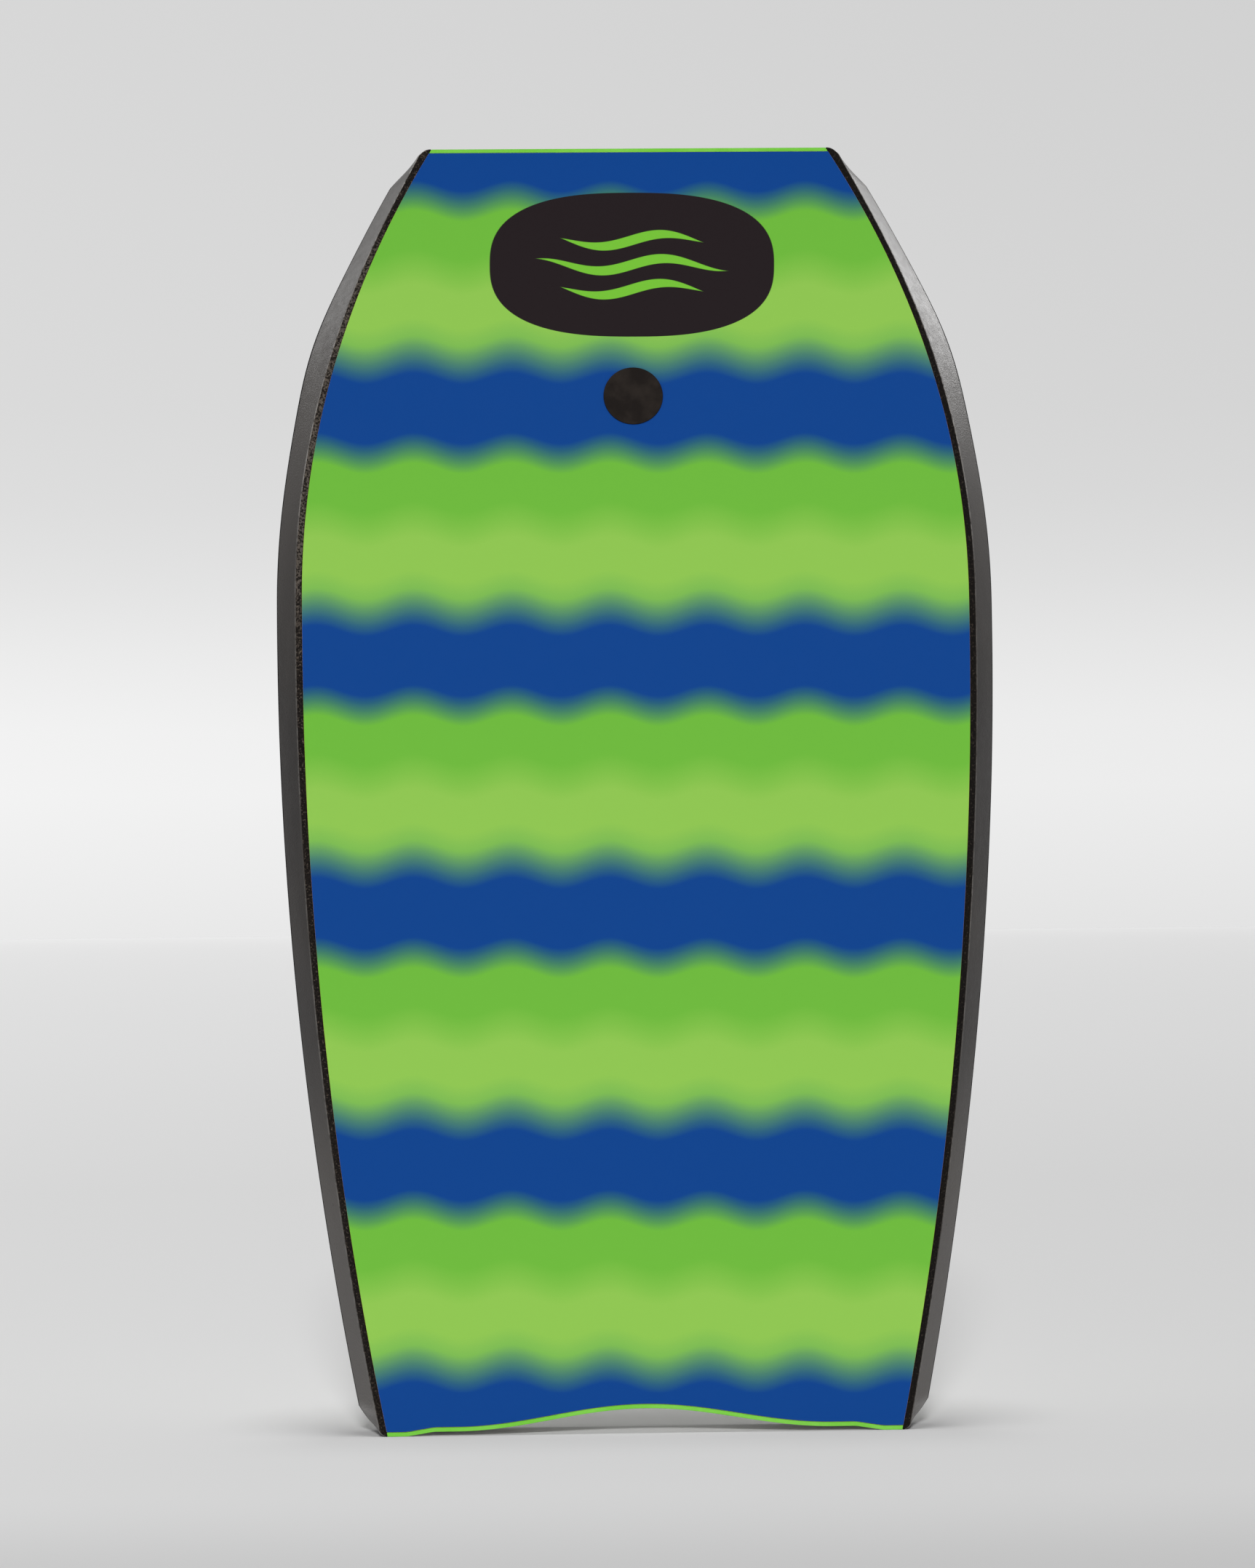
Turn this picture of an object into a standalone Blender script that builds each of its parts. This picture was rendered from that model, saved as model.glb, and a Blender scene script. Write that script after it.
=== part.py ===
"""Bodyboard standing on its tail: nose up (+Z), printed slick facing -Y, deck facing +Y, X across.

Every layer is described by three lengths: x across the board, d the depth below the slick's face,
and s the distance along the slick from the tail tips. bent() carries them round the nose rocker.
"""
import math

import bmesh
import bpy
from mathutils import Matrix, Vector

# Outline and rocker
LENGTH = 1.0544             # along the slick, tail tips to nose
HALF_WIDTH = 0.2684         # of the slick at its widest
WIDEST_AT = 0.670           # distance of the widest place from the tail tips
TAIL_DRAW_IN = 0.0633       # how much narrower each half of the slick is at the tail
TAIL_POWER = 2.15
NOSE_DRAW_IN = 0.1055
NOSE_POWER = 2.02
ROCKER_START = 0.500
ROCKER_ANGLE = math.radians(17.0)
ROCKER_RADIUS = (LENGTH - ROCKER_START) / ROCKER_ANGLE

# Thickness
THICK_TAIL = 0.050
THICK_MIDDLE = 0.056
THICK_PLUG = 0.050
THICK_NOSE = 0.040
TAIL_TAPER = (0.030, 0.250)
NOSE_TAPER_START = 0.550

# Layers
GAP = 0.0003                # between pieces that are bonded to each other
SLICK_THICK = 0.0012
BACKING_THICK = 0.0025
DECK_THICK = 0.0050
STRIP_THICK = 0.0034        # nose and tail strips, measured along the board
CORE_BOTTOM = SLICK_THICK + GAP + BACKING_THICK + GAP

# Rails
REACH_TAIL = 0.0197         # from the slick's edge out to the apex, at the tail
REACH_MIDDLE = 0.0222
REACH_SHOULDER = 0.0049     # extra reach at the shoulders
SHOULDER_AT = 0.890
SHOULDER_SPREAD = 0.065
APEX_SHARE = 0.58           # apex depth as a share of the thickness
BAND_WIDTH = 0.0058         # flat edge of the lower rail beside the slick
BAND_NOSE_EXTRA = 0.0024    # the flat edge is this much wider at the nose, and fades back to normal
BAND_FADE = 0.022
BAND_SHARE = 0.75           # most of the reach that the flat edge may take where the ends round in
BAND_ROUND = 0.0012
CHINE_IN = 0.0160           # from the apex in to the deck's edge
RAIL_THICK = 0.0081         # across the board, at the apex
RAIL_TOP_INSIDE = 0.0010    # core side beyond the slick's edge, just under the deck skin
TAIL_ROUND = 0.022          # length over which the rail's outer edge rounds in at the tail
TAIL_ROUND_POWER = 0.48
NOSE_ROUND = 0.034
LEAST_REACH_TAIL = 0.12     # share of the reach left at the very end
LEAST_REACH_NOSE = 0.30
NOSE_ROUND_POWER = 0.5
CORE_ROUND_POWER = 0.85     # the core's corners round in a little behind the rail's
CORE_ROUND_DELAY = 0.002
EDGE_FALL = 0.0002          # rail's flat band below the slick's face
SEAM_ROUND = 0.0012         # rounded lips of the seam at the apex
SEAM_LIP = 0.0010
LIP_BACK = 0.0030

# Crescent tail: height of the end above the tips
CRESCENT_RISE = 0.0162
CRESCENT_HALF = 0.150
HEEL_RISE = 0.0035
HEEL_FROM = 0.168
HEEL_TO = 0.190
TAIL_ZONE = 0.030           # the crescent and its strip lie within this length

# Leash plug, clamped through the board on one flat facet of the rocker
PLUG_FACET = (0.8085, 0.8625)
FLANGE_RADIUS = 0.0241
STUD_RADIUS = 0.0060
CUP_RADIUS = 0.0164
CUP_HOLLOW_RADIUS = 0.0140
CUP_HOLLOW_DEPTH = 0.0140
BAR_RADIUS = 0.0026
BAR_DEPTH = 0.0045          # bar's axis below the cup's rim

ROUND_SEGMENTS = 48


def slick_half_width(s):
    """Half width of the slick at s, a power law on each side of the widest place."""
    if s < WIDEST_AT:
        return HALF_WIDTH - TAIL_DRAW_IN * ((WIDEST_AT - s) / WIDEST_AT) ** TAIL_POWER
    return HALF_WIDTH - NOSE_DRAW_IN * ((s - WIDEST_AT) / (LENGTH - WIDEST_AT)) ** NOSE_POWER


def ease(share):
    """Smooth step from 0 to 1."""
    share = min(max(share, 0.0), 1.0)
    return 0.5 - 0.5 * math.cos(math.pi * share)


def thickness(s):
    """Board thickness at s; constant over the plug's facet so that the plug sits square."""
    if s < TAIL_TAPER[1]:
        share = (s - TAIL_TAPER[0]) / (TAIL_TAPER[1] - TAIL_TAPER[0])
        return THICK_TAIL + (THICK_MIDDLE - THICK_TAIL) * math.sin(math.pi / 2 * max(share, 0.0))
    if s <= PLUG_FACET[1]:
        share = (s - NOSE_TAPER_START) / (PLUG_FACET[0] - NOSE_TAPER_START)
        return THICK_MIDDLE - (THICK_MIDDLE - THICK_PLUG) * ease(share)
    share = (s - PLUG_FACET[1]) / (LENGTH - PLUG_FACET[1])
    return THICK_PLUG - (THICK_PLUG - THICK_NOSE) * share ** 1.6


def rocker_angle(s):
    return max(0.0, s - ROCKER_START) / ROCKER_RADIUS


NOSE_DEPTH = (ROCKER_RADIUS * (1 - math.cos(ROCKER_ANGLE)) + THICK_NOSE * math.cos(ROCKER_ANGLE))
SLICK_Y = -NOSE_DEPTH / 2   # world Y of the slick's flat part; the board is centred about Y = 0


def bent(x, d, s):
    """World point of the board coordinates x, d and s."""
    angle = rocker_angle(s)
    straight = min(s, ROCKER_START)
    y = ROCKER_RADIUS * (1 - math.cos(angle)) + d * math.cos(angle)
    z = straight + ROCKER_RADIUS * math.sin(angle) - d * math.sin(angle)
    return Vector((x, SLICK_Y + y, z))


def corner_share(from_tail, from_nose, tail_power, least_tail):
    """Share of full size at these distances from the ends, where the corners round in."""
    tail = min(max(from_tail, 0.0) / TAIL_ROUND, 1.0) ** tail_power
    nose = min(max(from_nose, 0.0) / NOSE_ROUND, 1.0) ** NOSE_ROUND_POWER
    return min(max(tail, least_tail), LEAST_REACH_NOSE + (1 - LEAST_REACH_NOSE) * nose)


def rail_share(s):
    return corner_share(s, LENGTH - s, TAIL_ROUND_POWER, LEAST_REACH_TAIL)


def core_share(s):
    delay = CORE_ROUND_DELAY
    return corner_share(s - delay, LENGTH - s - delay, CORE_ROUND_POWER, 0.0)


def stations(start=0.0, end=LENGTH):
    """Places along the board where the section is set out."""
    tail = [0.0, 0.0012, 0.0035, 0.008, 0.014, TAIL_ROUND, 0.034, 0.050]
    straight = [0.05 * k for k in range(2, 11)]
    steps = 12
    rocker = [ROCKER_START + (PLUG_FACET[0] - ROCKER_START) * k / steps for k in range(1, steps + 1)]
    steps = 6
    nose_from, nose_to = PLUG_FACET[1], LENGTH - NOSE_ROUND
    nose = [nose_from + (nose_to - nose_from) * k / steps for k in range(steps + 1)]
    backs = (0.024, 0.015, 0.008, STRIP_THICK + GAP, STRIP_THICK, 0.0020, 0.0008)
    corner = [LENGTH - back for back in backs]
    inside = [s for s in tail + straight + rocker + nose + corner if start < s < end]
    near = [s for s in inside if s - start > 0.0004 and end - s > 0.0004]
    return [start] + near + [end]


# ---------------------------------------------------------------- sections, as (x, d) points

def rail_reach(s):
    """How far the apex stands outside the slick's edge, before the ends round in."""
    growth = (REACH_MIDDLE - REACH_TAIL) * ease(s / WIDEST_AT)
    shoulder = REACH_SHOULDER * math.exp(-((s - SHOULDER_AT) / SHOULDER_SPREAD) ** 2)
    return REACH_TAIL + growth + shoulder


def apex(s):
    """Apex of the rail and the chine's top corner."""
    share = rail_share(s)
    edge = slick_half_width(s)
    reach = rail_reach(s)
    tip = (edge + reach * share, APEX_SHARE * thickness(s))
    top = (edge + (reach - CHINE_IN) * share, thickness(s))
    return tip, top


def along(start, end, d):
    """Point at depth d on the line through two (x, d) points."""
    share = (d - start[1]) / (end[1] - start[1])
    return (start[0] + (end[0] - start[0]) * share, d)


def core_side(s):
    """Side of the core at s: below the backing, at the apex, and under the deck skin."""
    edge = slick_half_width(s)
    share = core_share(s)
    return [(edge, CORE_BOTTOM),
            (edge + (rail_reach(s) - RAIL_THICK) * share, APEX_SHARE * thickness(s)),
            (edge + RAIL_TOP_INSIDE * share, thickness(s) - DECK_THICK - GAP)]


def lower_rail_section(s):
    """Right lower rail: flat band beside the slick, rounded ridge, face out to the apex."""
    edge = slick_half_width(s) + GAP
    tip, _top = apex(s)
    seam = tip[1] - GAP / 2
    wide = BAND_WIDTH + BAND_NOSE_EXTRA * math.exp((s - LENGTH) / BAND_FADE)
    band = min(wide, BAND_SHARE * (tip[0] - edge))
    ridge = (edge + band, BAND_ROUND)
    inner = core_side(s)[1]
    return [(edge, EDGE_FALL),
            (edge + band - BAND_ROUND, EDGE_FALL),
            (edge + band - 0.3 * BAND_ROUND, EDGE_FALL + 0.3 * BAND_ROUND),
            ridge,
            along(ridge, tip, seam - LIP_BACK),
            along(ridge, tip, seam - SEAM_ROUND),
            (tip[0] - SEAM_LIP, seam),
            (inner[0] + GAP, seam),
            (edge, CORE_BOTTOM)]


def upper_rail_section(s):
    """Right upper rail, from the seam at the apex in to the deck skin."""
    tip, top = apex(s)
    seam = tip[1] + GAP / 2
    under_deck = thickness(s) - DECK_THICK - GAP
    inner = core_side(s)
    return [(inner[1][0] + GAP, seam),
            (tip[0] - SEAM_LIP, seam),
            along(tip, top, seam + SEAM_ROUND),
            along(tip, top, seam + LIP_BACK),
            along(tip, top, under_deck),
            (inner[2][0] + GAP, under_deck)]


def mirrored(half):
    """Full section from its right half, listed from the slick to the deck."""
    return half + [(-x, d) for x, d in reversed(half)]


def core_section(s):
    return mirrored(core_side(s))


def strip_section(s):
    return mirrored([(slick_half_width(s), 0.0)] + core_side(s))


def slick_section(s):
    edge = slick_half_width(s)
    return mirrored([(edge - 0.0003, 0.0), (edge, 0.0003), (edge, SLICK_THICK)])


def backing_section(s):
    edge = slick_half_width(s)
    start = SLICK_THICK + GAP
    return mirrored([(edge, start), (edge, start + BACKING_THICK)])


def deck_section(s):
    tip, top = apex(s)
    deep = thickness(s)
    return mirrored([along(tip, top, deep - DECK_THICK),
                     along(tip, top, deep - 0.0016),
                     (top[0] - 0.0004, deep - 0.0005),
                     (top[0] - 0.0018, deep)])


# ---------------------------------------------------------------- building tools

def linear(channel):
    value = channel / 255.0
    return value / 12.92 if value <= 0.04045 else ((value + 0.055) / 1.055) ** 2.4


def material(name, red, green, blue, roughness):
    """Principled material from an 8-bit colour."""
    made = bpy.data.materials.new(name)
    made.use_nodes = True
    shader = made.node_tree.nodes["Principled BSDF"]
    colour = (linear(red), linear(green), linear(blue), 1.0)
    shader.inputs["Base Color"].default_value = colour
    shader.inputs["Roughness"].default_value = roughness
    shader.inputs["Metallic"].default_value = 0.0
    made.diffuse_color = colour
    return made


def finish(name, body, surface):
    """Object from a bmesh body, faces out, smooth across shallow angles."""
    bmesh.ops.recalc_face_normals(body, faces=body.faces)
    mesh = bpy.data.meshes.new(name)
    body.to_mesh(mesh)
    body.free()
    mesh.shade_smooth()
    mesh.set_sharp_from_angle(angle=math.radians(30))
    if surface is not None:
        mesh.materials.append(surface)
    made = bpy.data.objects.new(name, mesh)
    bpy.context.scene.collection.objects.link(made)
    return made


def skin_rings(body, rings, depths=None):
    """Side faces between rings of vertices and a cap on each end.

    A side that slopes in depth is split from its shallow corner to the next ring's deep corner,
    so that two bonded pieces share the same creases and keep their gap.
    """
    for ring, following in zip(rings, rings[1:]):
        for k in range(len(ring)):
            after = (k + 1) % len(ring)
            corners = (ring[k], ring[after], following[after], following[k])
            if depths is None or abs(depths[k] - depths[after]) < GAP:
                body.faces.new(corners)
            elif depths[k] < depths[after]:
                body.faces.new((corners[0], corners[1], corners[2]))
                body.faces.new((corners[0], corners[2], corners[3]))
            else:
                body.faces.new((corners[0], corners[1], corners[3]))
                body.faces.new((corners[1], corners[2], corners[3]))
    body.faces.new(rings[0])
    body.faces.new(rings[-1])


def loft(name, section, places, surface, side=1):
    """Closed body through the section at each place along the board."""
    body = bmesh.new()
    rings = []
    for s in places:
        rings.append([body.verts.new(bent(side * x, d, s)) for x, d in section(s)])
    skin_rings(body, rings, [d for _x, d in section(places[0])])
    return finish(name, body, surface)


def turned(name, profile, surface, place):
    """Closed body turned about the plug's axis from (radius, height) points."""
    body = bmesh.new()
    rings = []
    for radius, height in profile:
        if radius == 0.0:
            rings.append([body.verts.new(place @ Vector((0, 0, height)))])
            continue
        ring = []
        for k in range(ROUND_SEGMENTS):
            angle = 2 * math.pi * k / ROUND_SEGMENTS
            point = Vector((radius * math.cos(angle), radius * math.sin(angle), height))
            ring.append(body.verts.new(place @ point))
        rings.append(ring)
    closed = rings if len(rings[0]) == 1 else rings + [rings[0]]
    for ring, following in zip(closed, closed[1:]):
        for k in range(ROUND_SEGMENTS):
            after = (k + 1) % ROUND_SEGMENTS
            corners = [ring[k % len(ring)], ring[after % len(ring)],
                       following[after % len(following)], following[k % len(following)]]
            body.faces.new(list(dict.fromkeys(corners)))
    return finish(name, body, surface)


def prism(name, outline, depth_from, depth_to):
    """Cutter with an (x, z) outline, running through the board's depth."""
    body = bmesh.new()
    rings = []
    for depth in (depth_from, depth_to):
        rings.append([body.verts.new((x, SLICK_Y + depth, z)) for x, z in outline])
    skin_rings(body, rings)
    return finish(name, body, None)


def combine(target, tool, operation):
    """EXACT boolean of a hidden tool on the target."""
    tool.hide_render = True
    tool.display_type = 'WIRE'
    step = target.modifiers.new(tool.name, 'BOOLEAN')
    step.operation = operation
    step.solver = 'EXACT'
    step.object = tool


# ---------------------------------------------------------------- tail crescent

def crescent(x):
    """Height of the board's end above the tail tips; falls below zero past the heels."""
    away = abs(x)
    if away < CRESCENT_HALF:
        return HEEL_RISE + CRESCENT_RISE * (0.5 + 0.5 * math.cos(math.pi * away / CRESCENT_HALF))
    if away < HEEL_FROM:
        return HEEL_RISE
    return HEEL_RISE * (HEEL_TO - away) / (HEEL_TO - HEEL_FROM)


def crescent_line(half, steps, raised, least):
    points = []
    for k in range(steps + 1):
        x = -half + 2 * half * k / steps
        points.append((x, max(crescent(x), least) + raised))
    return points


def tail_cutters():
    """Cutters below the end itself, below the strip's inner edge, and above its outer part."""
    below, above = -0.02, 0.06
    end_line = crescent_line(0.210, 42, 0.0, -1.0)
    strip_line = crescent_line(0.240, 48, STRIP_THICK, 0.0)
    layer_line = crescent_line(0.240, 48, STRIP_THICK + GAP, 0.0)
    depth_from, depth_to = -0.01, 0.08
    end_cut = prism("cut_tail_end", end_line + [(0.210, below), (-0.210, below)],
                    depth_from, depth_to)
    strip_cut = prism("cut_above_strip", strip_line + [(0.240, above), (-0.240, above)],
                      depth_from, depth_to)
    layer_cut = prism("cut_below_layers", layer_line + [(0.240, below), (-0.240, below)],
                      depth_from, depth_to)
    return end_cut, strip_cut, layer_cut


# ---------------------------------------------------------------- leash plug

def plug_frame():
    """Frame of the plug: origin on the slick's facet, Z through the board towards the deck."""
    low, high = (bent(0, 0, s) for s in PLUG_FACET)
    up = (high - low).normalized()
    across = Vector((1, 0, 0))
    through = up.cross(across) * -1
    if through.y < 0:
        through = -through
    turn = Matrix((across, through.cross(across), through)).transposed().to_4x4()
    return Matrix.Translation((low + high) / 2) @ turn


def plug_holes(place):
    """Bores for the stud and for the cup."""
    stud = turned("cut_stud_bore", [(0.0, -0.01), (STUD_RADIUS + GAP, -0.01),
                                    (STUD_RADIUS + GAP, 0.07), (0.0, 0.07)], None, place)
    cup = turned("cut_cup_bore", [(0.0, -0.01), (CUP_RADIUS + GAP, -0.01),
                                  (CUP_RADIUS + GAP, 0.07), (0.0, 0.07)], None, place)
    return stud, cup


def leash_plug_cap(place, surface):
    """Slick-side half: shallow domed disc with a stud that screws into the cup."""
    under = -GAP
    profile = [(0.0, under - 0.0022),
               (0.010, under - 0.0021),
               (0.018, under - 0.0018),
               (FLANGE_RADIUS - 0.0012, under - 0.0013),
               (FLANGE_RADIUS - 0.0003, under - 0.0009),
               (FLANGE_RADIUS, under - 0.0004),
               (FLANGE_RADIUS, under),
               (STUD_RADIUS, under),
               (STUD_RADIUS, THICK_PLUG - 0.0200),
               (STUD_RADIUS - 0.0010, THICK_PLUG - 0.0190),
               (0.0, THICK_PLUG - 0.0190)]
    return turned("leash_plug_cap", profile, surface, place)


def leash_plug_cup(place, surface):
    """Deck-side half: flanged cup with a bar across its hollow, and a socket for the stud."""
    seat = THICK_PLUG + GAP
    rim = seat + 0.0022
    floor = rim - CUP_HOLLOW_DEPTH
    socket = STUD_RADIUS + GAP
    profile = [(0.0, floor),
               (CUP_HOLLOW_RADIUS - 0.0010, floor),
               (CUP_HOLLOW_RADIUS, floor + 0.0010),
               (CUP_HOLLOW_RADIUS, rim - 0.0010),
               (CUP_HOLLOW_RADIUS + 0.0010, rim),
               (FLANGE_RADIUS - 0.0030, rim),
               (FLANGE_RADIUS - 0.0006, rim - 0.0008),
               (FLANGE_RADIUS, rim - 0.0016),
               (FLANGE_RADIUS, seat),
               (CUP_RADIUS, seat),
               (CUP_RADIUS, CORE_BOTTOM + GAP),
               (socket, CORE_BOTTOM + GAP),
               (socket, floor - 0.0030),
               (0.0, floor - 0.0030)]
    cup = turned("leash_plug_cup", profile, surface, place)
    bar_place = place @ Matrix.Translation((0, 0, rim - BAR_DEPTH)) @ Matrix.Rotation(math.pi / 2, 4, 'X')
    half = CUP_HOLLOW_RADIUS + 0.0010
    bar = turned("join_leash_bar", [(0.0, -half), (BAR_RADIUS, -half), (BAR_RADIUS, half), (0.0, half)],
                 surface, bar_place)
    combine(cup, bar, 'UNION')
    return cup


# ---------------------------------------------------------------- the board

def build():
    for old in list(bpy.data.objects):
        bpy.data.objects.remove(old, do_unlink=True)

    print_blue = material("slick_print_blue", 24, 71, 144, 0.32)
    foam_white = material("core_foam_white", 232, 232, 226, 0.85)
    foam_grey = material("backing_foam_grey", 120, 122, 124, 0.80)
    rail_black = material("rail_foam_black", 38, 33, 32, 0.62)
    chine_black = material("chine_foam_black", 44, 40, 39, 0.62)
    skin_lime = material("deck_skin_lime", 118, 206, 66, 0.60)
    strip_lime = material("end_strip_lime", 139, 210, 96, 0.55)
    plug_black = material("plug_plastic_black", 40, 36, 34, 0.38)

    end_cut, strip_cut, layer_cut = tail_cutters()
    place = plug_frame()
    stud_bore, cup_bore = plug_holes(place)
    layer_end = LENGTH - STRIP_THICK - GAP

    core = loft("foam_core", core_section, stations(end=layer_end), foam_white)
    slick = loft("slick_sheet", slick_section, stations(end=layer_end), print_blue)
    backing = loft("slick_backing", backing_section, stations(end=layer_end), foam_grey)
    deck = loft("deck_skin", deck_section, stations(), skin_lime)
    loft("nose_strip", strip_section, stations(start=LENGTH - STRIP_THICK), strip_lime)
    tail_strip = loft("tail_strip", strip_section, stations(end=TAIL_ZONE), strip_lime)

    for layer in (core, slick, backing):
        combine(layer, layer_cut, 'DIFFERENCE')
    combine(deck, end_cut, 'DIFFERENCE')
    combine(tail_strip, end_cut, 'DIFFERENCE')
    combine(tail_strip, strip_cut, 'DIFFERENCE')
    combine(slick, stud_bore, 'DIFFERENCE')
    combine(backing, stud_bore, 'DIFFERENCE')
    combine(core, cup_bore, 'DIFFERENCE')
    combine(deck, cup_bore, 'DIFFERENCE')

    for side, word in ((-1, "left"), (1, "right")):
        loft("rail_lower_" + word, lower_rail_section, stations(), rail_black, side)
        loft("rail_upper_" + word, upper_rail_section, stations(), chine_black, side)

    leash_plug_cap(place, plug_black)
    leash_plug_cup(place, plug_black)


build()
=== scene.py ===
"""Looks of the bodyboard: dense pieces, materials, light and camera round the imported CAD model.

The board stands on its tail: nose up (+Z), printed slick facing -Y, deck facing +Y, X across.
Pieces are set out in the board's own lengths, as the CAD is: x across the board, d the depth below
the slick's face, and s the distance along the slick from the tail tips.
"""

import math

import bmesh
import bpy
from mathutils import Matrix, Vector


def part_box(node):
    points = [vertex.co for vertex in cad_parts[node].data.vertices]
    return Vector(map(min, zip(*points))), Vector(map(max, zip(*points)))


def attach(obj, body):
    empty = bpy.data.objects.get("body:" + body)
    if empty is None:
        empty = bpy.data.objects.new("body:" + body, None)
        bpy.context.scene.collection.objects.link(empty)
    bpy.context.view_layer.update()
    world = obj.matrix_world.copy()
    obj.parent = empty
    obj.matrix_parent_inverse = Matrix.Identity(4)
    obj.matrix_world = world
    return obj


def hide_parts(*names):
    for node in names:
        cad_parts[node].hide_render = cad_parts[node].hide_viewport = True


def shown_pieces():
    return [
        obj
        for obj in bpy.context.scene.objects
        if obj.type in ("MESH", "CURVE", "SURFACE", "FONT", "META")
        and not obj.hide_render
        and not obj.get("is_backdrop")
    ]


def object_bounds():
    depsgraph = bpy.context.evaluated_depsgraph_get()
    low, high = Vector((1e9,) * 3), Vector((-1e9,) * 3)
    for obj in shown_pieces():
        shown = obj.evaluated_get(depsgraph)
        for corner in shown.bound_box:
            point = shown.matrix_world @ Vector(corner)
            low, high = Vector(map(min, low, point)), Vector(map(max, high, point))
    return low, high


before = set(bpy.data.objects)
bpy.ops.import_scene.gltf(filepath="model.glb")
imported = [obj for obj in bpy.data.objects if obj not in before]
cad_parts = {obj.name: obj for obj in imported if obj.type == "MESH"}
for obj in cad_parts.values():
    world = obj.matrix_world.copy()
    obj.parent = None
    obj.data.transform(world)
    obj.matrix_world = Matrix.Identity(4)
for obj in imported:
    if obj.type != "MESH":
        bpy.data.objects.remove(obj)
cad_low, cad_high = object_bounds()
floor_height = cad_low.z

# Outline and rocker
LENGTH = 1.0544
HALF_WIDTH = 0.2684
WIDEST_AT = 0.670
TAIL_DRAW_IN = 0.0633
TAIL_POWER = 2.15
NOSE_DRAW_IN = 0.1055
NOSE_POWER = 2.02
ROCKER_START = 0.500
ROCKER_ANGLE = math.radians(17.0)
ROCKER_RADIUS = (LENGTH - ROCKER_START) / ROCKER_ANGLE
SLICK_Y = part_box("slick_sheet")[0].y

# Thickness
THICK_TAIL = 0.050
THICK_MIDDLE = 0.056
THICK_PLUG = 0.050
THICK_NOSE = 0.040
TAIL_TAPER = (0.030, 0.250)
NOSE_TAPER_START = 0.550
NOSE_TAPER_POWER = 1.6

# Layers
GAP = 0.0003
SLICK_THICK = 0.0012
BACKING_THICK = 0.0025
DECK_THICK = 0.0050
STRIP_THICK = 0.0034
CORE_BOTTOM = SLICK_THICK + GAP + BACKING_THICK + GAP

# Rails
REACH_TAIL = 0.0197
REACH_MIDDLE = 0.0222
REACH_SHOULDER = 0.0049
SHOULDER_AT = 0.890
SHOULDER_SPREAD = 0.065
APEX_SHARE = 0.58
BAND_WIDTH = 0.0058
BAND_NOSE_EXTRA = 0.0024
BAND_FADE = 0.022
BAND_SHARE = 0.75
BAND_ROUND = 0.006          # the band's outer line rounds in over this length at the nose
BAND_LEAST = 0.35           # and ends at this share of its width
FACE_DEPTH = 0.0012         # how deep the rail's face starts, a band's width out
RIM_SHARE = 0.93            # how far across the rail's face its dark seam starts
CHINE_IN = 0.0160
RAIL_THICK = 0.0081
RAIL_TOP_INSIDE = 0.0010
TAIL_ROUND = 0.022
TAIL_ROUND_POWER = 0.48
NOSE_ROUND = 0.024
LEAST_REACH_TAIL = 0.12
LEAST_REACH_NOSE = 0.38
NOSE_ROUND_POWER = 0.5
CORE_ROUND_POWER = 0.85
CORE_ROUND_DELAY = 0.002
EDGE_FALL = 0.0002
RIDGE_RADIUS = 0.0011
LIP_RADIUS = 0.0011
EDGE_RADIUS = 0.0004
BEVEL_SEGMENTS = 4
BEVEL_ANGLE = math.radians(40)
SHARP_ANGLE = math.radians(35)      # turned pieces are shaded smooth below this

# Crescent tail
CRESCENT_RISE = 0.0162
CRESCENT_HALF = 0.150
HEEL_RISE = 0.0035
HEEL_FROM = 0.168
HEEL_TO = 0.190

# Leash plug
PLUG_FACET = (0.8085, 0.8625)
FLANGE_RADIUS = 0.0241
STUD_RADIUS = 0.0060
CUP_RADIUS = 0.0164
CUP_HOLLOW_RADIUS = 0.0140
CUP_HOLLOW_DEPTH = 0.0140
CUP_ROUND = 0.0010          # round edges at the hollow's floor and mouth
BAR_RADIUS = 0.0026
BAR_DEPTH = 0.0045
BAR_SUNK = 0.0010           # how far the bar's ends run into the cup's wall
RIM_THICK = 0.0022          # the cup's flange on the deck
RIM_RADIUS = 0.0016
SOCKET_DEEPER = 0.0030      # below the cup's floor
STUD_SHORT = 0.0190         # the stud ends this far below the deck
STUD_CHAMFER = 0.0010
DISC_THICK = 0.0011         # the slick-side disc at its rim
DISC_DOME = 0.0011
DOME_POWER = 1.2
DOME_STEPS = 24
DISC_ROUND = 0.0006
BORE_SPAN = (-0.01, 0.07)   # a bore runs well past both faces
ROUND_SEGMENTS = 128

# Camera, from the CAD model's box
EYE = Vector((-0.0991, cad_low.y - 3.2004, floor_height + 0.400))
AIM = Vector((-0.0080, -0.030, floor_height + 0.5187))
LENS_MM = 91.82
SENSOR_MM = 36.0
ROLL = -0.01068

# Print, measured in metres on a sheet held square to the view at PRINT_REACH from the camera
PRINT_REACH = 3.2
PRINT_PERIOD = 0.2019       # one blue band and one green band
BLUE_STARTS = 0.3381        # height where green turns to blue, in the top band
BLUE_HEIGHT = 0.0739
PRINT_LEAD = 0.0350         # a period starts this far above the blue band's upper edge
WAVE_PERIOD = 0.0783
WAVE_CREST = -0.0143        # across, where a wave crests
WAVE_RISE = 0.0044
BADGE_CENTRE = (0.0035, 0.4155)
BADGE_HALF = (0.1138, 0.0576)
BADGE_POWER = 2.6           # between an ellipse (2) and a rectangle

# The badge's stripes, in shares of its half width and half height
STRIPES = ((0.34, 0.52), (0.0, 0.70), (-0.34, 0.52))        # height and reach of each
STRIPE_HALF = 0.070         # half of a stripe's width at its middle
STRIPE_CUT = 0.008          # taken off the taper, so that nothing is left past the tips
STRIPE_SWELL = 0.085        # how far a stripe waves up and down
STRIPE_TURNS = 7.0          # radians of its wave in half a badge

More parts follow.
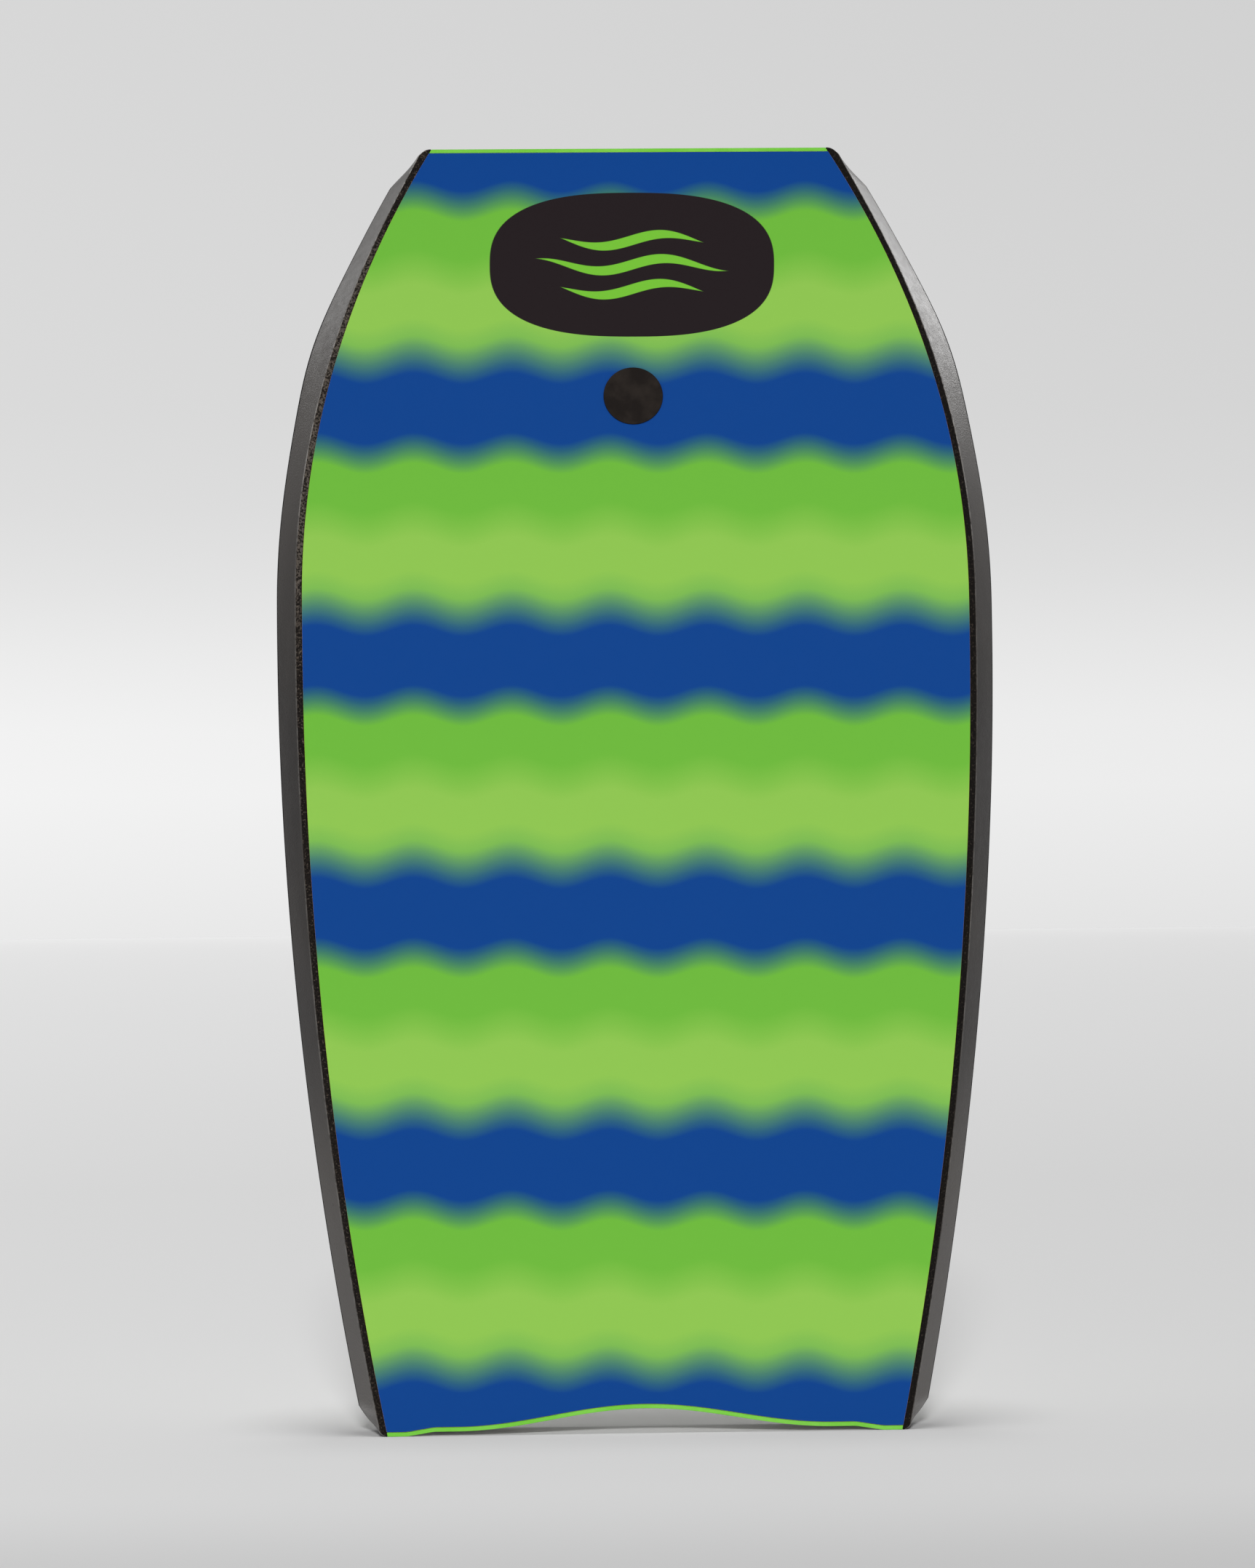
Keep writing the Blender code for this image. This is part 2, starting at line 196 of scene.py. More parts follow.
# Painted sheen and painted highlights on the rails, by the heights between which they grow
FACE_SHEEN_TAIL = (0.36, 0.14)
FACE_SHEEN_NOSE = (0.56, 0.80)
RIDGE_HIGHLIGHT_NOSE = (0.62, 0.92)
BAND_HIGHLIGHT_LOW = (0.60, 0.70)
BAND_HIGHLIGHT_HIGH = (0.99, 0.93)

COLOURFUL = ("slick_print_blue", "deck_skin_lime", "end_strip_lime")    # throw no colour on the floor

# Studio
FILL_SHARE = 0.30           # how much of the surroundings' light reaches matt surfaces
SLANT = 0.04                # floor (painted shade) and surroundings (light) are lighter on the left, darker on the right by this
SLANT_REACH = 0.2           # how far to each side the slant goes on, as a share of the distance
# The surroundings' 8-bit grey by the rise of the direction
WORLD_TONES = ((0.0, 231), (0.018, 236), (0.035, 240), (0.052, 239), (0.070, 233), (0.088, 225),
               (0.107, 219), (0.130, 216), (0.225, 213))
FLOOR_RADIUS = 800.0
# The floor's tone by the logarithm of the distance, which runs between FLOOR_DECADES: painted shade,
# darkest near the board
FLOOR_TONES = ((0.5, 0.80), (1.0, 0.855), (1.27, 0.873), (1.5, 0.89), (2.08, 0.926), (2.7, 0.98))
FLOOR_DECADES = (-1.0, 3.0)
FLOOR_FRONT = (-0.36, -0.85, 0.83)      # between these places painted shade darkens it to this share
FLOOR_FAN = 3.3             # the floor's slant fans out from this far in front of the board
FLOOR_FAN_LEAST = 0.5       # nearer to that place than this, and behind it, the slant stays parallel
SHEEN = 0.0050              # light that the sheet's gloss adds over the print


# ---------------------------------------------------------------- shape of the board

def slick_half_width(s):
    """Half the slick's width: widest at WIDEST_AT, drawn in towards both ends."""
    if s < WIDEST_AT:
        return HALF_WIDTH - TAIL_DRAW_IN * ((WIDEST_AT - s) / WIDEST_AT) ** TAIL_POWER
    return HALF_WIDTH - NOSE_DRAW_IN * ((s - WIDEST_AT) / (LENGTH - WIDEST_AT)) ** NOSE_POWER


def ease(share):
    """0 to 1 with a soft start and a soft stop."""
    share = min(max(share, 0.0), 1.0)
    return 0.5 - 0.5 * math.cos(math.pi * share)


def thickness(s):
    if s < TAIL_TAPER[1]:
        share = (s - TAIL_TAPER[0]) / (TAIL_TAPER[1] - TAIL_TAPER[0])
        return THICK_TAIL + (THICK_MIDDLE - THICK_TAIL) * math.sin(math.pi / 2 * max(share, 0.0))
    if s <= PLUG_FACET[1]:
        share = (s - NOSE_TAPER_START) / (PLUG_FACET[0] - NOSE_TAPER_START)
        return THICK_MIDDLE - (THICK_MIDDLE - THICK_PLUG) * ease(share)
    share = (s - PLUG_FACET[1]) / (LENGTH - PLUG_FACET[1])
    return THICK_PLUG - (THICK_PLUG - THICK_NOSE) * min(share, 1.0) ** NOSE_TAPER_POWER


def bent(x, d, s):
    """World point of the board lengths x, d and s. The plug's facet is flat, as in the CAD."""
    if PLUG_FACET[0] < s < PLUG_FACET[1]:
        share = (s - PLUG_FACET[0]) / (PLUG_FACET[1] - PLUG_FACET[0])
        return bent(x, d, PLUG_FACET[0]).lerp(bent(x, d, PLUG_FACET[1]), share)
    angle = max(0.0, s - ROCKER_START) / ROCKER_RADIUS
    straight = min(s, ROCKER_START)
    y = ROCKER_RADIUS * (1 - math.cos(angle)) + d * math.cos(angle)
    z = straight + ROCKER_RADIUS * math.sin(angle) - d * math.sin(angle)
    return Vector((x, SLICK_Y + y, z))


def corner_share(from_tail, from_nose, tail_power, least_tail):
    """Share of the rail's reach that is left near an end, where the board's corners round in."""
    tail = min(max(from_tail, 0.0) / TAIL_ROUND, 1.0) ** tail_power
    nose = min(max(from_nose, 0.0) / NOSE_ROUND, 1.0) ** NOSE_ROUND_POWER
    return min(max(tail, least_tail), LEAST_REACH_NOSE + (1 - LEAST_REACH_NOSE) * nose)


def rail_reach(s):
    """How far the apex stands out past the slick's edge, before the corners round in."""
    growth = (REACH_MIDDLE - REACH_TAIL) * ease(s / WIDEST_AT)
    shoulder = REACH_SHOULDER * math.exp(-((s - SHOULDER_AT) / SHOULDER_SPREAD) ** 2)
    return REACH_TAIL + growth + shoulder


def apex(s):
    """The rail's outermost (x, d) point, and the deck's edge above it."""
    share = corner_share(s, LENGTH - s, TAIL_ROUND_POWER, LEAST_REACH_TAIL)
    edge = slick_half_width(s)
    tip = (edge + rail_reach(s) * share, APEX_SHARE * thickness(s))
    top = (edge + (rail_reach(s) - CHINE_IN) * share, thickness(s))
    return tip, top


def along(start, end, d):
    """The (x, d) point at depth d on the line through start and end."""
    share = (d - start[1]) / (end[1] - start[1])
    return (start[0] + (end[0] - start[0]) * share, d)


def core_side(s):
    """Right side of the core, where the rails lie on it: (x, d) points from the slick to the deck."""
    delay = CORE_ROUND_DELAY
    share = corner_share(s - delay, LENGTH - s - delay, CORE_ROUND_POWER, 0.0)
    edge = slick_half_width(s)
    return [(edge, CORE_BOTTOM),
            (edge + (rail_reach(s) - RAIL_THICK) * share, APEX_SHARE * thickness(s)),
            (edge + RAIL_TOP_INSIDE * share, thickness(s) - DECK_THICK - GAP)]


def tail_end(x):
    """Height of the board's end above the tail tips."""
    away = abs(x)
    if away < CRESCENT_HALF:
        return HEEL_RISE + CRESCENT_RISE * (0.5 + 0.5 * math.cos(math.pi * away / CRESCENT_HALF))
    if away < HEEL_FROM:
        return HEEL_RISE
    return max(HEEL_RISE * (HEEL_TO - away) / (HEEL_TO - HEEL_FROM), 0.0)


# ---------------------------------------------------------------- building tools

def spread(start, end, step):
    """Places from start to end about a step apart."""
    count = max(1, round((end - start) / step))
    return [start + (end - start) * k / count for k in range(count + 1)]


def rail_places():
    """Places along a rail, close together where its ends round in."""
    tail = [TAIL_ROUND * (k / 14) ** 2 for k in range(15)]
    nose = [LENGTH - NOSE_ROUND * (k / 16) ** 2 for k in range(16, -1, -1)]
    middle = spread(TAIL_ROUND, PLUG_FACET[0], 0.006)
    facet = spread(*PLUG_FACET, 0.006)
    shoulder = spread(PLUG_FACET[1], LENGTH - NOSE_ROUND, 0.005)
    return tail + middle[1:] + facet[1:] + shoulder[1:] + nose[1:]


def filleted(corners, steps):
    """Closed section with its (x, d, radius) corners rounded, always with the same points in all."""
    points = []
    for k, (x, d, radius) in enumerate(corners):
        here = Vector((x, d))
        before = Vector(corners[k - 1][:2]) - here
        after = Vector(corners[(k + 1) % len(corners)][:2]) - here
        if radius == 0.0:
            points.append((x, d))
            continue
        half = before.angle(after) / 2
        reach = min(radius / math.tan(half), 0.45 * before.length, 0.45 * after.length)
        first = here + before.normalized() * reach
        last = here + after.normalized() * reach
        for step in range(steps + 1):
            t = step / steps
            points.append(tuple(first * (1 - t) ** 2 + here * 2 * t * (1 - t) + last * t ** 2))
    return points


def finished(name, body, surfaces, bevel=0.0):
    """Object from a bmesh body, faces out, with its sharp edges rounded."""
    bmesh.ops.recalc_face_normals(body, faces=body.faces)
    mesh = bpy.data.meshes.new(name)
    body.to_mesh(mesh)
    body.free()
    mesh.shade_smooth()
    for surface in surfaces:
        mesh.materials.append(surface)
    made = bpy.data.objects.new(name, mesh)
    bpy.context.scene.collection.objects.link(made)
    if bevel > 0.0:
        step = made.modifiers.new("rounded_edges", 'BEVEL')
        step.width = bevel
        step.segments = BEVEL_SEGMENTS
        step.limit_method = 'ANGLE'
        step.angle_limit = BEVEL_ANGLE
        step.harden_normals = True
    return made


def loft(name, section, places, surfaces, side=1, slots=None, bevel=0.0):
    """Closed body through the section at each place. slots gives the material of each side strip."""
    body = bmesh.new()
    rings = [[body.verts.new(bent(side * x, d, s)) for x, d in section(s)] for s in places]
    count = len(rings[0])
    for ring, following in zip(rings, rings[1:]):
        for k in range(count):
            after = (k + 1) % count
            face = body.faces.new((ring[k], ring[after], following[after], following[k]))
            face.material_index = slots[k] if slots else 0
    for ring in (rings[0], rings[-1]):
        body.faces.new(ring)
    return finished(name, body, surfaces, bevel)


def slab(name, side, rungs, start, end, step, surfaces, along_step=None, bevel=0.0, edge_slot=0):
    """Closed body between two curved ends, in cells of about one step.

    side(s) lists the right side's (x, d) points from the slick to the deck; start(x) and end(x)
    are the ends' places along the board. rungs is how many points side(s) has. along_step is the
    step along the board where it differs from the one across.
    """
    widest = max(abs(x) for x, _d in side(WIDEST_AT))
    columns = 2 * round(widest / step)
    rows = max(1, round((end(0.0) - start(0.0)) / (along_step or step)))
    body = bmesh.new()
    grid = {}

    def corner(i, j, k):
        if (i, j, k) not in grid:
            u = 2.0 * i / columns - 1.0
            low, high = start(0.0), end(0.0)
            for _turn in range(6):
                low = start(u * side(low)[k][0])
                high = end(u * side(high)[k][0])
            s = low + (high - low) * j / rows
            x, d = side(s)[k]
            grid[i, j, k] = body.verts.new(bent(u * x, d, s))
        return grid[i, j, k]

    def quad(cells, slot):
        body.faces.new([corner(*cell) for cell in cells]).material_index = slot

    for i in range(columns):
        for j in range(rows):
            for k in (0, rungs - 1):
                quad([(i, j, k), (i + 1, j, k), (i + 1, j + 1, k), (i, j + 1, k)], 0)
    for k in range(rungs - 1):
        for i in range(columns):
            for j in (0, rows):
                quad([(i, j, k), (i + 1, j, k), (i + 1, j, k + 1), (i, j, k + 1)], edge_slot)
        for j in range(rows):
            for i in (0, columns):
                quad([(i, j, k), (i, j + 1, k), (i, j + 1, k + 1), (i, j, k + 1)], edge_slot)
    return finished(name, body, surfaces, bevel)


def turned(name, profile, surfaces, place):
    """Closed body turned about the plug's axis from (radius, height) points."""
    body = bmesh.new()
    rings = []
    for radius, height in profile:
        if radius == 0.0:
            rings.append([body.verts.new(place @ Vector((0, 0, height)))])
            continue
        ring = []
        for k in range(ROUND_SEGMENTS):
            angle = 2 * math.pi * k / ROUND_SEGMENTS
            point = Vector((radius * math.cos(angle), radius * math.sin(angle), height))
            ring.append(body.verts.new(place @ point))
        rings.append(ring)
    for ring, following in zip(rings, rings[1:]):
        for k in range(ROUND_SEGMENTS):
            after = (k + 1) % ROUND_SEGMENTS
            corners = [ring[k % len(ring)], ring[after % len(ring)],
                       following[after % len(following)], following[k % len(following)]]
            body.faces.new(list(dict.fromkeys(corners)))
    made = finished(name, body, surfaces)
    made.data.set_sharp_from_angle(angle=SHARP_ANGLE)
    return made


def apply_boolean(target, tool, operation):
    """Joins or cuts the target with the tool for good, and removes the tool."""
    step = target.modifiers.new(tool.name, 'BOOLEAN')
    step.operation = operation
    step.solver = 'EXACT'
    step.object = tool
    others = [m for m in target.modifiers if m != step]
    shown = [m.show_viewport for m in others]
    for other in others:
        other.show_viewport = False
    graph = bpy.context.evaluated_depsgraph_get()
    graph.update()
    mesh = bpy.data.meshes.new_from_object(target.evaluated_get(graph), depsgraph=graph)
    old = target.data
    target.data = mesh
    target.modifiers.remove(step)
    for other, seen in zip(others, shown):
        other.show_viewport = seen
    bpy.data.meshes.remove(old)
    bpy.data.objects.remove(tool)


# ---------------------------------------------------------------- materials

def linear(channel):
    """Linear value of an 8-bit display value."""
    value = channel / 255.0
    return value / 12.92 if value <= 0.04045 else ((value + 0.055) / 1.055) ** 2.4


def colour(red, green, blue):
    """Linear colour of an 8-bit one."""
    return (linear(red), linear(green), linear(blue), 1.0)


def fill_slant(node):
    """Sets a new map range: a little over 1 on the left, a little under 1 on the right."""
    for k, given in enumerate((-SLANT_REACH, SLANT_REACH, 1.0 + SLANT, 1.0 - SLANT), 1):
        node.inputs[k].default_value = given


def fill_ramp(node, stops):
    """Gives a new colour ramp the (position, linear colour) stops."""
    elements = node.color_ramp.elements
    for k, (position, tone) in enumerate(stops):
        if k >= len(elements):
            elements.new(position)
        elements[k].position = position
        elements[k].color = tone


class Surface:
    """A procedural material, with short calls for the nodes that feed it."""

    def __init__(self, name, roughness=0.5, specular=0.5):
        self.material = bpy.data.materials.new(name)
        self.material.use_nodes = True
        self.tree = self.material.node_tree
        self.shader = self.tree.nodes["Principled BSDF"]
        self.shader.inputs["Roughness"].default_value = roughness
        self.shader.inputs["Specular IOR Level"].default_value = specular

    def node(self, kind, **settings):
        made = self.tree.nodes.new(kind)
        for key, value in settings.items():
            setattr(made, key, value)
        return made

    def feed(self, socket, value):
        if isinstance(value, bpy.types.NodeSocket):
            self.tree.links.new(value, socket)
        else:
            socket.default_value = value

    def set(self, name, value):
        self.feed(self.shader.inputs[name], value)

    def math(self, operation, *values):
        made = self.node("ShaderNodeMath", operation=operation)
        for k, value in enumerate(values):
            self.feed(made.inputs[k], value)
        return made.outputs[0]

    def smooth(self, value, low, high):
        """0 below low, 1 above high, and a smooth step between."""
        made = self.node("ShaderNodeMapRange", interpolation_type='SMOOTHSTEP')
        for k, given in enumerate((value, low, high)):
            self.feed(made.inputs[k], given)
        return made.outputs[0]

    def mix(self, share, first, second):
        made = self.node("ShaderNodeMix", data_type='RGBA')
        self.feed(made.inputs[0], share)
        self.feed(made.inputs[6], first)
        self.feed(made.inputs[7], second)
        return made.outputs[2]

    def place(self):
        return self.node("ShaderNodeTexCoord").outputs["Object"]

    def axes(self):
        """The place's x, y and z."""
        parts = self.node("ShaderNodeSeparateXYZ")
        self.feed(parts.inputs[0], self.place())
        return tuple(parts.outputs)

    def stretched(self, x, y, z):
        made = self.node("ShaderNodeMapping")
        self.feed(made.inputs["Vector"], self.place())
        made.inputs["Scale"].default_value = (x, y, z)
        return made.outputs[0]

    def noise(self, scale, detail=3.0, rough=0.5, vector=None):
        made = self.node("ShaderNodeTexNoise")
        self.feed(made.inputs["Vector"], vector or self.place())
        made.inputs["Scale"].default_value = scale
        made.inputs["Detail"].default_value = detail
        made.inputs["Roughness"].default_value = rough
        return made.outputs["Fac"]

    def cells(self, scale, feature='F1', vector=None):
        made = self.node("ShaderNodeTexVoronoi", feature=feature)
        self.feed(made.inputs["Vector"], vector or self.place())
        made.inputs["Scale"].default_value = scale
        return made.outputs["Distance"]

    def between(self, value, low, high):
        """Maps a 0..1 value to low..high."""
        made = self.node("ShaderNodeMapRange")
        self.feed(made.inputs[0], value)
        made.inputs[3].default_value = low
        made.inputs[4].default_value = high
        return made.outputs[0]

    def ramp(self, value, stops):
        """Colour ramp through (position, linear colour) stops."""
        made = self.node("ShaderNodeValToRGB")
        fill_ramp(made, stops)
        self.feed(made.inputs[0], value)
        return made.outputs[0]

    def bump(self, height, distance, strength=1.0, onto=None):
        made = self.node("ShaderNodeBump")
        made.inputs["Distance"].default_value = distance
        made.inputs["Strength"].default_value = strength
        self.feed(made.inputs["Height"], height)
        if onto is not None:
            self.feed(made.inputs["Normal"], onto)
        return made.outputs[0]


BLUE = (24, 71, 144)
GREEN = (114, 189, 66)
LIGHT_GREEN = (147, 202, 86)
FADED_GREEN = (129, 191, 87)
BADGE_BLACK = (40, 34, 36)
BADGE_LIME = (122, 198, 62)
# The print's tones by the distance below the blue band's upper edge, and below its lower edge
UPPER_TONES = ((-0.0302, LIGHT_GREEN), (-0.0160, FADED_GREEN), (0.0136, BLUE))
LOWER_TONES = ((-0.0125, BLUE), (0.0116, GREEN), (0.0423, GREEN), (0.0708, LIGHT_GREEN))
BLEND_STEPS = 4


def ink(tone):
    """Linear colour of the ink that looks like the 8-bit tone under the sheet's gloss."""
    return tuple(max(linear(channel) - SHEEN, 0.0005) for channel in tone) + (1.0,)


def print_stops():
    """One period of the print from the top down: (position, linear colour) stops.

    The printed blends are even in display values, so each is set out in several steps.
    """
    keys = [(0.0, LIGHT_GREEN)]
    keys += [(PRINT_LEAD + down, tone) for down, tone in UPPER_TONES]
    keys += [(PRINT_LEAD + BLUE_HEIGHT + down, tone) for down, tone in LOWER_TONES]
    stops = []
    for (start, first), (end, last) in zip(keys, keys[1:]):
        pieces = 1 if first == last else BLEND_STEPS
        for k in range(pieces):
            share = k / pieces
            tone = [a + (b - a) * share for a, b in zip(first, last)]
            stops.append(((start + (end - start) * share) / PRINT_PERIOD, ink(tone)))
    stops.append((keys[-1][0] / PRINT_PERIOD, ink(keys[-1][1])))
    return stops


def slick_material():
    """Smooth polyethylene sheet, printed with soft blue and green wave bands and a plain badge."""
    made = Surface("slick_print_blue", roughness=0.30, specular=0.08)
    layout = made.node("ShaderNodeUVMap", uv_map="print")
    parts = made.node("ShaderNodeSeparateXYZ")
    made.feed(parts.inputs[0], layout.outputs[0])
    across, height = parts.outputs[0], parts.outputs[1]

    turns = made.math('MULTIPLY', made.math('SUBTRACT', across, WAVE_CREST), 2 * math.pi / WAVE_PERIOD)
    wave = made.math('MULTIPLY', made.math('COSINE', turns), WAVE_RISE)
    below = made.math('SUBTRACT', BLUE_STARTS + PRINT_LEAD, made.math('SUBTRACT', height, wave))
    phase = made.math('FRACT', made.math('DIVIDE', below, PRINT_PERIOD))
    bands = made.ramp(phase, print_stops())

    u = made.math('DIVIDE', made.math('SUBTRACT', across, BADGE_CENTRE[0]), BADGE_HALF[0])
    v = made.math('DIVIDE', made.math('SUBTRACT', height, BADGE_CENTRE[1]), BADGE_HALF[1])
    round_out = made.math('ADD', made.math('POWER', made.math('ABSOLUTE', u), BADGE_POWER),
                          made.math('POWER', made.math('ABSOLUTE', v), BADGE_POWER))
    badge = made.smooth(round_out, 1.008, 0.992)
    stripes = None
    ripple = made.math('SINE', made.math('MULTIPLY', u, STRIPE_TURNS))
    swell = made.math('MULTIPLY', ripple, STRIPE_SWELL)
    for level, reach in STRIPES:
        off = made.math('ABSOLUTE', made.math('SUBTRACT', made.math('SUBTRACT', v, level), swell))
        inward = made.math('DIVIDE', made.math('ABSOLUTE', u), reach)
        taper = made.math('MAXIMUM', made.math('SUBTRACT', 1.0, made.math('POWER', inward, 2.0)), 0.0)
        half = made.math('SUBTRACT', made.math('MULTIPLY', taper, STRIPE_HALF + STRIPE_CUT), STRIPE_CUT)
        line = made.smooth(made.math('SUBTRACT', off, half), 0.006, -0.006)
        stripes = line if stripes is None else made.math('MAXIMUM', stripes, line)
    mark = made.mix(stripes, ink(BADGE_BLACK), ink(BADGE_LIME))
    made.set("Base Color", made.mix(badge, bands, mark))
    made.set("Roughness", made.between(made.noise(55.0, 4.0), 0.26, 0.40))
    orange_peel = made.noise(420.0, 2.0, 0.4)
    made.set("Normal", made.bump(orange_peel, 0.00006, 0.35))
    return made.material


def slick_edge_material():
    """Cut edge of the sheet, bare polyethylene with a warm tint."""
    made = Surface("slick_cut_edge", roughness=0.45, specular=0.3)
    grain = made.noise(900.0, 3.0)
    made.set("Base Color", made.mix(grain, colour(168, 118, 46), colour(212, 164, 74)))
    return made.material


def band_material():
    """Cut foam beside the slick: black and grainy, with painted shade that makes it darker on the right and
    a painted highlight that makes it paler on the upper left.
    """
    made = Surface("rail_band_black", roughness=0.72, specular=0.16)
    grain = made.noise(620.0, 3.0, 0.6)
    cloud = made.noise(38.0, 3.0)
    tone = made.mix(made.smooth(grain, 0.38, 0.56), colour(8, 6, 5), colour(29, 24, 21))
    tone = made.mix(made.smooth(grain, 0.57, 0.68), tone, colour(96, 86, 76))
    across, _depth, height = made.axes()
    left = made.smooth(across, 0.05, -0.05)
    right = made.math('SUBTRACT', 1.0, left)
    towards_nose = made.math('MULTIPLY', made.smooth(height, *BAND_HIGHLIGHT_LOW),
                             made.smooth(height, *BAND_HIGHLIGHT_HIGH))
    # painted highlight: the upper left is painted paler, in grains, towards the nose
    painted_highlight = made.mix(made.smooth(grain, 0.42, 0.60), colour(24, 21, 18), colour(100, 92, 84))
    tone = made.mix(made.math('MULTIPLY', left, towards_nose), tone, painted_highlight)
    # painted shade: the right side is painted darker
    tone = made.mix(made.math('MULTIPLY', right, 0.65), tone, colour(6, 5, 4))
    made.set("Base Color", made.mix(made.between(cloud, 0.0, 0.4), tone, colour(22, 18, 15)))
    pores = made.cells(1500.0)
    made.set("Normal", made.bump(pores, 0.00025, 0.5, made.bump(grain, 0.0004, 0.5)))
    return made.material


def ridge_material():
    """Ridge between the cut band and the skinned face, painted pale in broken patches as a painted
    highlight, most towards the nose.
    """
    made = Surface("rail_ridge_painted_highlight", roughness=0.55, specular=0.30)
    patches = made.noise(210.0, 4.0, 0.7)
    long_patches = made.noise(9.0, 2.0)
    _across, _depth, height = made.axes()
    towards_nose = made.math('MULTIPLY_ADD', made.smooth(height, *RIDGE_HIGHLIGHT_NOSE), 0.75, 0.25)
    painted_highlight = made.math('MULTIPLY', made.smooth(patches, 0.30, 0.62), made.smooth(long_patches, 0.30, 0.60))
    painted_highlight = made.math('MULTIPLY', painted_highlight, towards_nose)
    # painted highlight: pale broken patches along the ridge, strongest towards the nose
    made.set("Base Color", made.mix(painted_highlight, colour(50, 46, 43), colour(158, 154, 150)))
    made.set("Normal", made.bump(patches, 0.0002, 0.4))
    return made.material


def skin_material(name, dark, light, roughness, specular, painted_sheen_ends=None):
    """Moulded foam skin: finely pitted, slightly clouded, and painted paler at the ends as painted sheen if
    asked.
    """
    made = Surface(name, roughness=roughness, specular=specular)
    fine = made.noise(700.0, 3.0, 0.55)
    cloud = made.noise(26.0, 4.0, 0.6, made.stretched(1.0, 1.0, 0.35))
    tone = made.mix(made.smooth(cloud, 0.3, 0.75), colour(*dark), colour(*light))
    if painted_sheen_ends:
        _across, _depth, height = made.axes()
        tail = made.smooth(height, *FACE_SHEEN_TAIL)
        nose = made.math('MULTIPLY', made.smooth(height, *FACE_SHEEN_NOSE), 0.7)
        # painted sheen: paler towards the tail and, less strongly, towards the nose
        tone = made.mix(made.math('MAXIMUM', tail, nose), tone, colour(*painted_sheen_ends))
    made.set("Base Color", tone)
    mottle = made.noise(150.0, 4.0, 0.65)
    made.set("Roughness", made.between(mottle, roughness - 0.14, roughness + 0.16))
    made.set("Normal", made.bump(made.cells(700.0), 0.0002, 0.35, made.bump(fine, 0.0002, 0.40)))
    return made.material


def deck_material():
    """Soft lime skin of the deck, embossed with small pebbles."""
    made = Surface("deck_skin_lime", roughness=0.62, specular=0.35)
    pebble = made.cells(300.0, 'SMOOTH_F1')
    fine = made.noise(1100.0, 3.0)
    cloud = made.noise(14.0, 4.0, 0.6)
    tone = made.mix(made.smooth(cloud, 0.3, 0.7), colour(112, 199, 62), colour(119, 204, 69))
    groove_shade = made.smooth(pebble, 0.52, 0.85)
    # painted shade: darker in the grooves between the pebbles
    made.set("Base Color", made.mix(made.math('MULTIPLY', groove_shade, 0.35), tone, colour(78, 150, 40)))
    raised = made.math('SUBTRACT', 1.0, pebble)
    made.set("Normal", made.bump(raised, 0.0012, 0.85, made.bump(fine, 0.0002, 0.4)))
    return made.material


def strip_material():
    """Lime foam strip that closes the board's ends, finely pitted."""
    made = Surface("end_strip_lime", roughness=0.60, specular=0.30)
    cloud = made.noise(30.0, 4.0, 0.6)
    tone = made.mix(made.smooth(cloud, 0.3, 0.7), colour(118, 204, 62), colour(132, 212, 80))
    pores = made.cells(1200.0)
    # painted shade: darker in the pits
    made.set("Base Color", made.mix(made.smooth(pores, 0.0, 0.25), colour(102, 176, 56), tone))
    made.set("Normal", made.bump(pores, 0.0003, 0.5))
    return made.material


def core_material():
    """White closed-cell foam of fused beads."""
    made = Surface("core_foam_white", roughness=0.85, specular=0.25)
    beads = made.cells(260.0, 'SMOOTH_F1')
    # painted shade: darker in the crevices between the beads
    tone = made.mix(made.smooth(beads, 0.4, 0.8), colour(232, 232, 226), colour(205, 205, 198))
    made.set("Base Color", tone)
    made.set("Normal", made.bump(made.math('SUBTRACT', 1.0, beads), 0.0008, 0.6))
    return made.material


def backing_material():
    """Thin grey foam film between the slick and the core."""
    made = Surface("backing_foam_grey", roughness=0.80, specular=0.25)
    fine = made.noise(600.0, 4.0)
    made.set("Base Color", made.mix(fine, colour(106, 108, 110), colour(134, 136, 138)))
    made.set("Normal", made.bump(fine, 0.0003, 0.5))
    return made.material


def plug_material():
    """Moulded black nylon, satin, with a fine spark texture and faint mottling."""
    made = Surface("plug_plastic_black", roughness=0.42, specular=0.16)
    cloud = made.noise(60.0, 3.0, 0.55)
    tone = made.mix(made.smooth(cloud, 0.35, 0.7), colour(20, 14, 11), colour(36, 30, 26))
    made.set("Base Color", tone)
    made.set("Roughness", made.between(cloud, 0.36, 0.52))
    made.set("Normal", made.bump(made.noise(1600.0, 2.0), 0.00012, 0.5))
    return made.material


# ---------------------------------------------------------------- pieces

def plug_frame():
    """Frame of the plug: origin on the slick's facet, Z through the board towards the deck."""
    low, high = (bent(0, 0, s) for s in PLUG_FACET)
    up = (high - low).normalized()
    across = Vector((1, 0, 0))
    through = across.cross(up) * -1
    if through.y < 0:
        through = -through
    turn = Matrix((across, through.cross(across), through)).transposed().to_4x4()
    return Matrix.Translation((low + high) / 2) @ turn


def bore(radius, place):
    """Cutter for a round hole through the board on the plug's axis."""
    near, far = BORE_SPAN
    return turned("bore", [(0.0, near), (radius, near), (radius, far), (0.0, far)], [], place)


def put(piece, node, slot):
    """Hands a finished piece to the frame: it stands for its CAD node on the one rigid body."""
    piece.visible_diffuse = slot not in COLOURFUL       # so no green light falls on the floor
    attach(piece, "root")
    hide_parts(node)


def arc(centre, radius, start, end, steps=10):
    """(radius, height) points on a circle, angles in degrees from the outward direction."""
    points = []
    for k in range(steps + 1):
        angle = math.radians(start + (end - start) * k / steps)
        points.append((centre[0] + radius * math.cos(angle), centre[1] + radius * math.sin(angle)))
    return points


